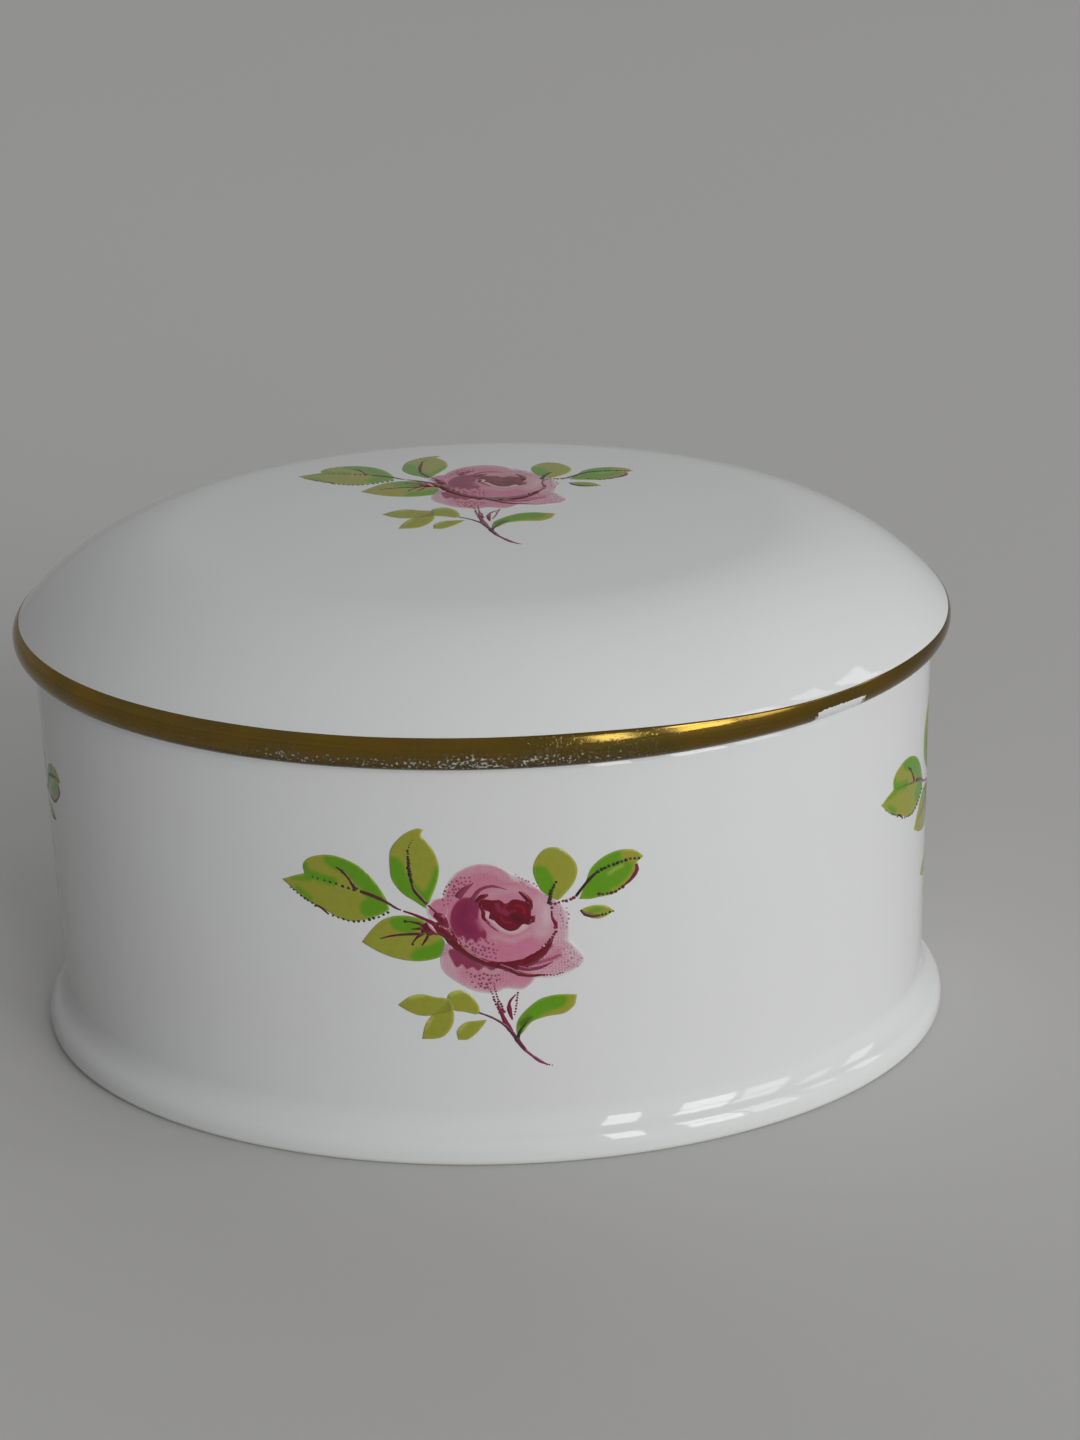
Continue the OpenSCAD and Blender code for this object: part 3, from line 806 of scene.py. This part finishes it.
brush((160, 84, 112), [(1.7, 2.4), (1.4, 3.2)], 0.5, edge=0.5, strength=0.7)
wash(shell_pink, [(1.9, 3.9), (2.5, 3.2), (3.4, 2.2), (4.4, 1.7), (5.4, 1.9), (6.2, 2.6),
                  (5.4, 3.2), (3.6, 3.4), (2.6, 4.2)], edge=0.35, strength=0.9)
brush(pale_pink, [(3, 1.5), (4.6, 1), (6, 1.6)], 0.6, edge=0.6, strength=0.6)
drawing.lay(spots, rose_faces, print_film, rose, dots)

# Rows of fine dots follow the petals where one ink runs out over another: on the petal at
# the upper left, under the plum shade, on the petal below, and faint ones at the right.
for tint, size, rows in (
        ((138, 66, 92), 0.26, (
            [(-1.85, 4.9), (-1.82, 6), (-1.26, 7), (-0.5, 7.6), (0.3, 7.9), (1, 8)],
            [(-1.5, 5.2), (-1.4, 5.9), (-0.9, 6.7), (-0.2, 7.2), (0.5, 7.5), (1.1, 7.6)],
            [(-1.1, 5.5), (-0.6, 6.4), (0, 6.9), (0.7, 7.2)])),
        ((130, 54, 82), 0.27, (
            [(-0.8, 1.5), (0.05, 0.6), (1, -0.1), (2.1, -0.6), (3, -0.8)],
            [(-0.4, 1.5), (0.6, 0.6), (1.6, 0), (2.6, -0.3), (3.4, -0.5)],
            [(0.9, 0.8), (1.8, 0.4), (2.7, 0.1), (3.3, -0.1)],
            [(1.6, 1.2), (2.3, 0.9), (3, 0.6)])),
        ((130, 54, 82), 0.27, (
            [(0.1, -2.4), (0.8, -2.7), (1.7, -2.6), (2.6, -2.7), (3.5, -2.8)],
            [(0.5, -2.9), (1.4, -3.1), (2.4, -3.1), (3.3, -3.2)],
            [(0.7, -3.4), (1.4, -3.6), (2.3, -3.6), (3, -3.6)],
            [(1, -3.9), (1.8, -4.1), (2.6, -4)])),
        ((162, 114, 134), 0.22, (
            [(8.6, -0.5), (9.4, -0.2), (10.2, -0.2)], [(8.8, -1.1), (9.7, -0.8), (10.7, -0.9)],
            [(9.1, -1.7), (10.1, -1.4), (11.1, -1.5)], [(9.6, -2.3), (10.5, -2.1), (10.9, -2.2)],
            [(9.2, 4.3), (9.35, 3.1), (9.3, 1.8)], [(9.8, 4.2), (9.9, 3.1), (9.7, 1.6)],
            [(5, 8), (5.8, 7.5), (6.6, 7), (7.2, 6.4)], [(5.2, 7.3), (6, 6.9), (6.6, 6.3)]))):
    for row in rows:
        dotted(row, 0.4, (size * 0.7, size, size, size * 0.7), tint, stray=0.12)

# The dark heart, drawn as solid ink, with lighter swirls left in it
heart_edge = smooth([(1.5, 5), (1.9, 5.5), (2.8, 5.4), (3.5, 5.4), (4.1, 5), (4.7, 5.4), (5.5, 5.3),
                     (6.2, 5), (6.4, 4.2), (6.4, 3.6), (6.75, 3.5), (6.6, 3), (6.2, 2.6),
                     (5.6, 2.7), (5.1, 2.2), (4.5, 2), (3.9, 2.2), (3.3, 2.7), (2.9, 3.2),
                     (2.4, 3.5), (2.5, 4.1), (2, 4.4)], closed=True)
spots, heart_faces = cut_sheet(heart_edge, heart_pitch)
rose = np.broadcast_to(ink(crimson_ink), (len(spots), 3)).copy()
brush((128, 40, 66), [(3.2, 4.9), (3.5, 4.3), (4.1, 3.9)], 0.42, edge=0.4, strength=0.75)
brush((130, 34, 62), [(4.2, 5), (3.9, 4.5), (4.3, 4), (4.9, 4.2)], 0.2, edge=0.2, strength=0.75)
brush((124, 28, 56), [(3.5, 3.6), (3.8, 3.1), (4.5, 2.9)], 0.2, edge=0.2, strength=0.7)
brush((138, 20, 44), [(5, 4.8), (5.7, 4.5), (5.8, 3.9)], 0.2, edge=0.2, strength=0.8)
brush((64, 0, 12), [(4.8, 3.6), (5.3, 3.2)], 0.7, edge=0.6, strength=0.7)
drawing.lay(spots, heart_faces, line_film, rose)

# Strokes of crimson and plum round the heart and under the ball
ribbon([(1.2, 5.2), (1.7, 5.7), (2.4, 6)], (0.25, 0.55, 0.25), crimson_ink)
ribbon([(1.6, 4.9), (1.9, 4.1), (1.9, 3.5), (2.5, 2.9)], (0.3, 0.35, 0.4, 0.1), crimson_ink)
ribbon([(2, 3.3), (2.6, 2.6), (3.3, 2)], (0.1, 0.2, 0.06), plum_ink)
ribbon([(5.3, 6.2), (5.9, 5.7), (6.3, 5), (6.35, 4.2)], (0.16, 0.5, 0.6, 0.4), crimson_ink)
ribbon([(6, 3), (6.5, 3), (6.75, 3.6)], (0.5, 0.45, 0.1), crimson_ink)
ribbon([(0.9, 5.5), (1.6, 6.5), (2.8, 6.9), (4.2, 6.5)], (0.5, 0.36, 0.26, 0.06), (126, 46, 76))
ribbon([(-0.5, 5.7), (0.1, 6.5), (1.1, 7.3)], (0.7, 0.55, 0.08), (124, 44, 74))
ribbon([(-1.9, 3.6), (-1.7, 2.2), (-0.9, 0.8), (0.6, -0.6), (2.2, -1.4), (3.8, -1.7), (5.4, -1.6),
        (6.8, -0.9), (7.9, 0.1), (8.3, 0.8)], (0.5, 1.05, 0.95, 0.75, 0.65, 0.7, 1, 1.1, 0.8, 0.25),
       crimson_ink)
ribbon([(3, -1.6), (4, -2), (5, -2.6), (6.2, -2.9), (7.4, -2.9)], (0.5, 0.55, 0.5, 0.36, 0.16),
       crimson_ink)
ribbon([(4.9, -1.9), (6.2, -2.2), (7.4, -2), (8.4, -1.5)], (0.5, 0.45, 0.3, 0.05), (122, 34, 64))
dotted([(7.2, -2.9), (8.4, -3), (9.3, -2.8)], 0.3, (0.24, 0.16), plum_ink)
ribbon([(8.35, 4), (8.4, 3.2), (8.7, 2.6), (8.75, 2)], (0.18, 0.22, 0.4, 0.3), plum_ink)
dotted([(8.7, 2.1), (8.5, 1.3), (8, 0.7), (7.3, 0)], 0.34, (0.38, 0.42, 0.36, 0.2), plum_ink,
       stray=0.08)
dotted([(8.3, 4.7), (8.4, 4.1)], 0.4, (0.34, 0.3), plum_ink)

# The calyx, with its twigs to the leaves at the left
ribbon([(-4.1, 2.4), (-3.1, 2.4), (-2.2, 2.3), (-1.2, 1.3)], (0.9, 1.5, 1.2, 0.8), crimson_ink,
       waver=0.2)
ribbon([(-2.8, 3.9), (-2.2, 3.6), (-1.6, 2.6)], (0.5, 1, 0.5), (112, 10, 48))
ribbon([(-3.5, 3.1), (-3, 2.4), (-2.6, 1.9)], (0.08, 0.42, 0.08), (196, 140, 156))
for hair in ([(-3.9, 2.8), (-4.7, 3), (-5.4, 3.1)], [(-3.9, 2.4), (-4.6, 2.3), (-5, 2.3)],
             [(-3.8, 1.9), (-4.5, 1.4), (-5, 0.7)], [(-3.4, 1.7), (-3.7, 1.1), (-4.1, 0.5)]):
    ribbon(hair, (0.34, 0.24, 0.12), (84, 16, 20))
dot(-5.55, 3.1, 0.34, green_ink)
dot(-4.95, 0.65, 0.3, green_ink)
ribbon([(-8.1, 1.1), (-6.8, 1.5), (-5.4, 1.7), (-4, 1.8)], (0.1, 0.22, 0.28, 0.3), brown_ink)
dotted([(-14.4, 7.2), (-13.1, 6.9), (-11.7, 6.6), (-10.1, 6.1)], 0.6, (0.16, 0.3, 0.34), green_ink)
ribbon([(-9.8, 6.1), (-8.6, 5.7), (-7.3, 5.1), (-6.4, 4.5), (-5.9, 4.3)],
       (0.3, 0.42, 0.36, 0.26, 0.16), brown_ink)
ribbon([(-5.7, 4.2), (-4.8, 3.9), (-3.7, 3.4), (-2.6, 2.8)], (0.2, 0.26, 0.34, 0.5), plum_ink)
ribbon([(-12, 8.5), (-11.3, 8), (-10.8, 7.3)], (0.16, 0.34, 0.2), brown_ink)
ribbon([(-10.9, 7.5), (-10.5, 6.8), (-10.1, 6.2)], (0.2, 0.36, 0.44), brown_ink)
dotted([(-16.7, 5.8), (-15.3, 4.8), (-14.2, 4.1)], 0.42, (0.16, 0.32), green_ink)
ribbon([(-14.2, 4.2), (-13.6, 3.9), (-13, 3.3)], (0.2, 0.28, 0.14), brown_ink)
dotted([(-12.6, 3.2), (-10.9, 2.8), (-9.6, 2.9), (-8, 3.5), (-7, 4)], 0.52, (0.26, 0.3, 0.34, 0.26),
       green_ink)
dotted([(-4.5, 11.8), (-4.8, 11.2), (-5, 10.7)], 0.3, (0.12, 0.2), brown_ink)
dotted([(-5, 10.6), (-5, 9.4), (-4.9, 8.2), (-4.7, 7.2)], 0.3, (0.26, 0.38, 0.46, 0.38),
       (46, 26, 10))
ribbon([(-4.8, 7.2), (-4.5, 6.4), (-3.9, 5.6), (-3.4, 5)], (0.2, 0.36, 0.34, 0.3), brown_ink)
ribbon([(-3.3, 4.9), (-2.8, 4.4), (-2.3, 3.9)], (0.18, 0.24, 0.3), plum_ink)

# The twigs and veins of the leaves at the right
dotted([(8.2, 4.9), (8.3, 5.8), (8.6, 6.6), (8.9, 7.1)], 0.32, (0.42, 0.4, 0.3, 0.24), (44, 26, 14))
ribbon([(8.15, 4.9), (8.3, 5.8), (8.6, 6.6)], (0.34, 0.3, 0.12), (52, 30, 14))
dotted([(8.7, 4.7), (9.4, 4.9), (10.1, 5), (10.7, 5.3)], 0.38, (0.3, 0.34, 0.4), plum_ink)
ribbon([(10.7, 5.3), (11.2, 6), (12.1, 7.1), (12.9, 7.8)], (0.3, 0.26, 0.34, 0.2), (44, 30, 14))
dotted([(12.8, 7.7), (13.6, 8.1), (14.7, 8.4), (16, 8.7), (17, 8.6)], 0.42,
       (0.36, 0.38, 0.36, 0.28), green_ink)
ribbon([(16.55, 8.1), (16.6, 7.4), (16, 6.5), (15.1, 5.8)], (0.3, 0.42, 0.3, 0.16), (104, 32, 52))
dotted([(15.2, 5.8), (14.4, 5.4), (13.4, 5.3), (12.8, 5.3)], 0.4, (0.38, 0.34, 0.38), (66, 30, 14))
ribbon([(11.1, 3.8), (11.6, 3.3), (12.4, 3.05), (13, 3.05)], (0.18, 0.4, 0.42, 0.2), (78, 30, 26))
dotted([(13.2, 3.1), (13.7, 3.2), (14.3, 3.4)], 0.36, (0.3, 0.22), green_ink)

# The stems, with the leaflets' twig and the vein of the long leaf
for side in (-0.2, 0.2):
    dotted([(2.5 + side, -4.2), (2.9 + side, -5.6), (3.4 + side, -7)], 0.3, (0.2, 0.26, 0.3),
           plum_ink)
ribbon([(2.9, -5.6), (3.3, -7), (3.8, -8.3), (4.5, -9.6)], (0.1, 0.4, 0.55, 0.3), (116, 14, 56))
ribbon([(4.7, -4.9), (4.1, -5.7), (4.05, -6.6), (4.3, -7.7)], (0.1, 0.26, 0.5, 0.16), (116, 14, 56))
dotted([(4.9, -4.7), (4.75, -5.9), (4.5, -7.2)], 0.3, (0.24, 0.2), plum_ink)
ribbon([(1.1, -6.8), (2.4, -7.4), (3.6, -8.3), (4.4, -9.4), (4.9, -10.3), (5.5, -11.2)],
       (0.18, 0.2, 0.26, 0.36, 0.5, 0.3), (92, 30, 58))
ribbon([(5.3, -11), (6.1, -11.8), (6.9, -12.5), (7.6, -12.9)], (0.26, 0.26, 0.4, 0.1),
       (116, 34, 78))
dotted([(7.5, -12.9), (7.9, -13), (8.2, -13.1)], 0.25, (0.2, 0.14), (116, 34, 78))
ribbon([(4.7, -9.9), (5, -9), (5.4, -8.4), (5.8, -7.9)], (0.4, 0.3, 0.22, 0.08), (44, 40, 14))

flat_spots, film = np.concatenate(drawing.spots), np.concatenate(drawing.film)
inks, dotting = np.concatenate(drawing.colour), np.concatenate(drawing.dots)

# On the side walls the print follows the oval, so its flat width is measured round the wall.
wall_turn = np.linspace(-math.pi, 2 * math.pi, wall_marks)
wall_run = np.hypot(cup_half[0] * np.sin(wall_turn), cup_half[1] * np.cos(wall_turn))
wall_steps = (wall_run[1:] + wall_run[:-1]) / 2 * np.diff(wall_turn)
wall_length = np.concatenate(([0], np.cumsum(wall_steps)))


def on_wall(middle, shift, height):
    """The print's places on the cup's side, centred where the oval's turn is middle."""
    start = np.interp(middle, wall_turn, wall_length)
    at = np.interp(start + shift + flat_spots[:, 0], wall_length, wall_turn)
    out = np.stack((np.cos(at) / cup_half[0], np.sin(at) / cup_half[1]), 1)
    out /= np.linalg.norm(out, axis=1)[:, None]
    place = np.stack((cup_half[0] * np.cos(at), cup_half[1] * np.sin(at)), 1) + out * film[:, None]
    return np.column_stack((place, height + flat_spots[:, 1]))


def on_crown(across_lid, along_lid, turned_by):
    """The print's places on the lid's crown, turned, with its middle off the crown's."""
    swing = math.radians(turned_by)
    x = flat_spots[:, 0] * math.cos(swing) - flat_spots[:, 1] * math.sin(swing) + across_lid
    y = flat_spots[:, 0] * math.sin(swing) + flat_spots[:, 1] * math.cos(swing) + along_lid
    z = dome_height(np.hypot(x, y / lid_ratio))
    out = np.stack((x, y / lid_ratio ** 2, z - crown_c[1]), 1)
    return np.stack((x, y, z), 1) + out / np.linalg.norm(out, axis=1)[:, None] * film[:, None]


def transfer(name):
    """Fired inks: as glossy as the glaze, and broken up into fine dots where they thin out."""
    finish, tree, shader = surface(name, IOR=1.5)
    colour, fill = given(tree, "ink", "Color"), given(tree, "dots")
    spot = given(tree, "print_place", "Vector")
    cells = add(tree, "ShaderNodeTexVoronoi", {"Vector": spot, "Scale": dots_per_mm,
                                               "Randomness": 0.45}, voronoi_dimensions="2D")
    dot_size = times(tree, fill, 0.75)
    dark = between(tree, cells.outputs["Distance"], times(tree, dot_size, 0.6), dot_size, 1.0, 0.0)
    dark = times(tree, dark, maths(tree, "GREATER_THAN", fill, 0.02))
    mottle = add(tree, "ShaderNodeTexNoise", {"Vector": spot, "Scale": 1.6, "Detail": 4.0,
                                              "Roughness": 0.65}).outputs[0]
    tint = blend(tree, times(tree, dark, 0.85), colour,
                 blend(tree, 1.0, colour, dot_shade, "MULTIPLY"))
    # Bare glaze round the inks keeps its own white.
    richness = add(tree, "ShaderNodeSeparateColor", {0: colour}, mode="HSV").outputs[1]
    uneven = times(tree, between(tree, mottle, 0.35, 0.7, 0.0, 0.24),
                   between(tree, richness, 0.06, 0.25))
    tint = blend(tree, uneven, tint, blend(tree, 1.0, tint, mottle_shade, "MULTIPLY"))
    tree.links.new(tint, shader.inputs["Base Color"])
    tree.links.new(between(tree, mottle, 0.3, 0.7, 0.05, 0.10), shader.inputs["Roughness"])
    return finish


sprig_finish = transfer("fired_print")
low, size = flat_spots.min(0), np.ptp(flat_spots, axis=0).max()
for place, cad_node, body, piece_name in (
        (on_wall(-math.pi / 2, front_shift, sprig_height), "front_transfer", "cup",
         "front_rose_sprig"),
        (on_wall(0, 0, sprig_height), "right_transfer", "cup", "right_rose_sprig"),
        (on_wall(math.pi / 2, 0, sprig_height), "back_transfer", "cup", "back_rose_sprig"),
        (on_wall(math.pi, left_shift, sprig_height), "left_transfer", "cup", "left_rose_sprig"),
        (on_crown(*crown_place), "lid_transfer", "lid", "lid_rose_sprig")):
    sprig = mesh_piece(piece_name, (place * MM).tolist(), drawing.faces, sprig_finish)
    mesh = sprig.data
    # Only the shown side is smooth, so that the film's edges don't tip the light on it.
    mesh.polygons.foreach_set("use_smooth", drawing.shown)
    give(sprig, "ink", np.column_stack((inks, np.ones(len(inks)))), "FLOAT_COLOR", "color")
    give(sprig, "dots", dotting)
    give(sprig, "print_place", np.column_stack((flat_spots, 0 * film)), "FLOAT_VECTOR", "vector")
    # The flat layout of the print: the shown side fills the map, and the rest lies under it.
    corner = np.empty(len(mesh.loops), np.int32)
    mesh.loops.foreach_get("vertex_index", corner)
    shown = np.repeat(drawing.shown, [len(face) for face in drawing.faces])
    flat = (flat_spots[corner] - low) / size
    flat = np.where(shown[:, None], flat * shown_map[0] + shown_map[1],
                    flat * hidden_map[0] + hidden_map[1])
    mesh.uv_layers.new(name="OFBake").uv.foreach_set("vector", flat.astype(np.float32).ravel())
    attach(sprig, body)
    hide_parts(cad_node)
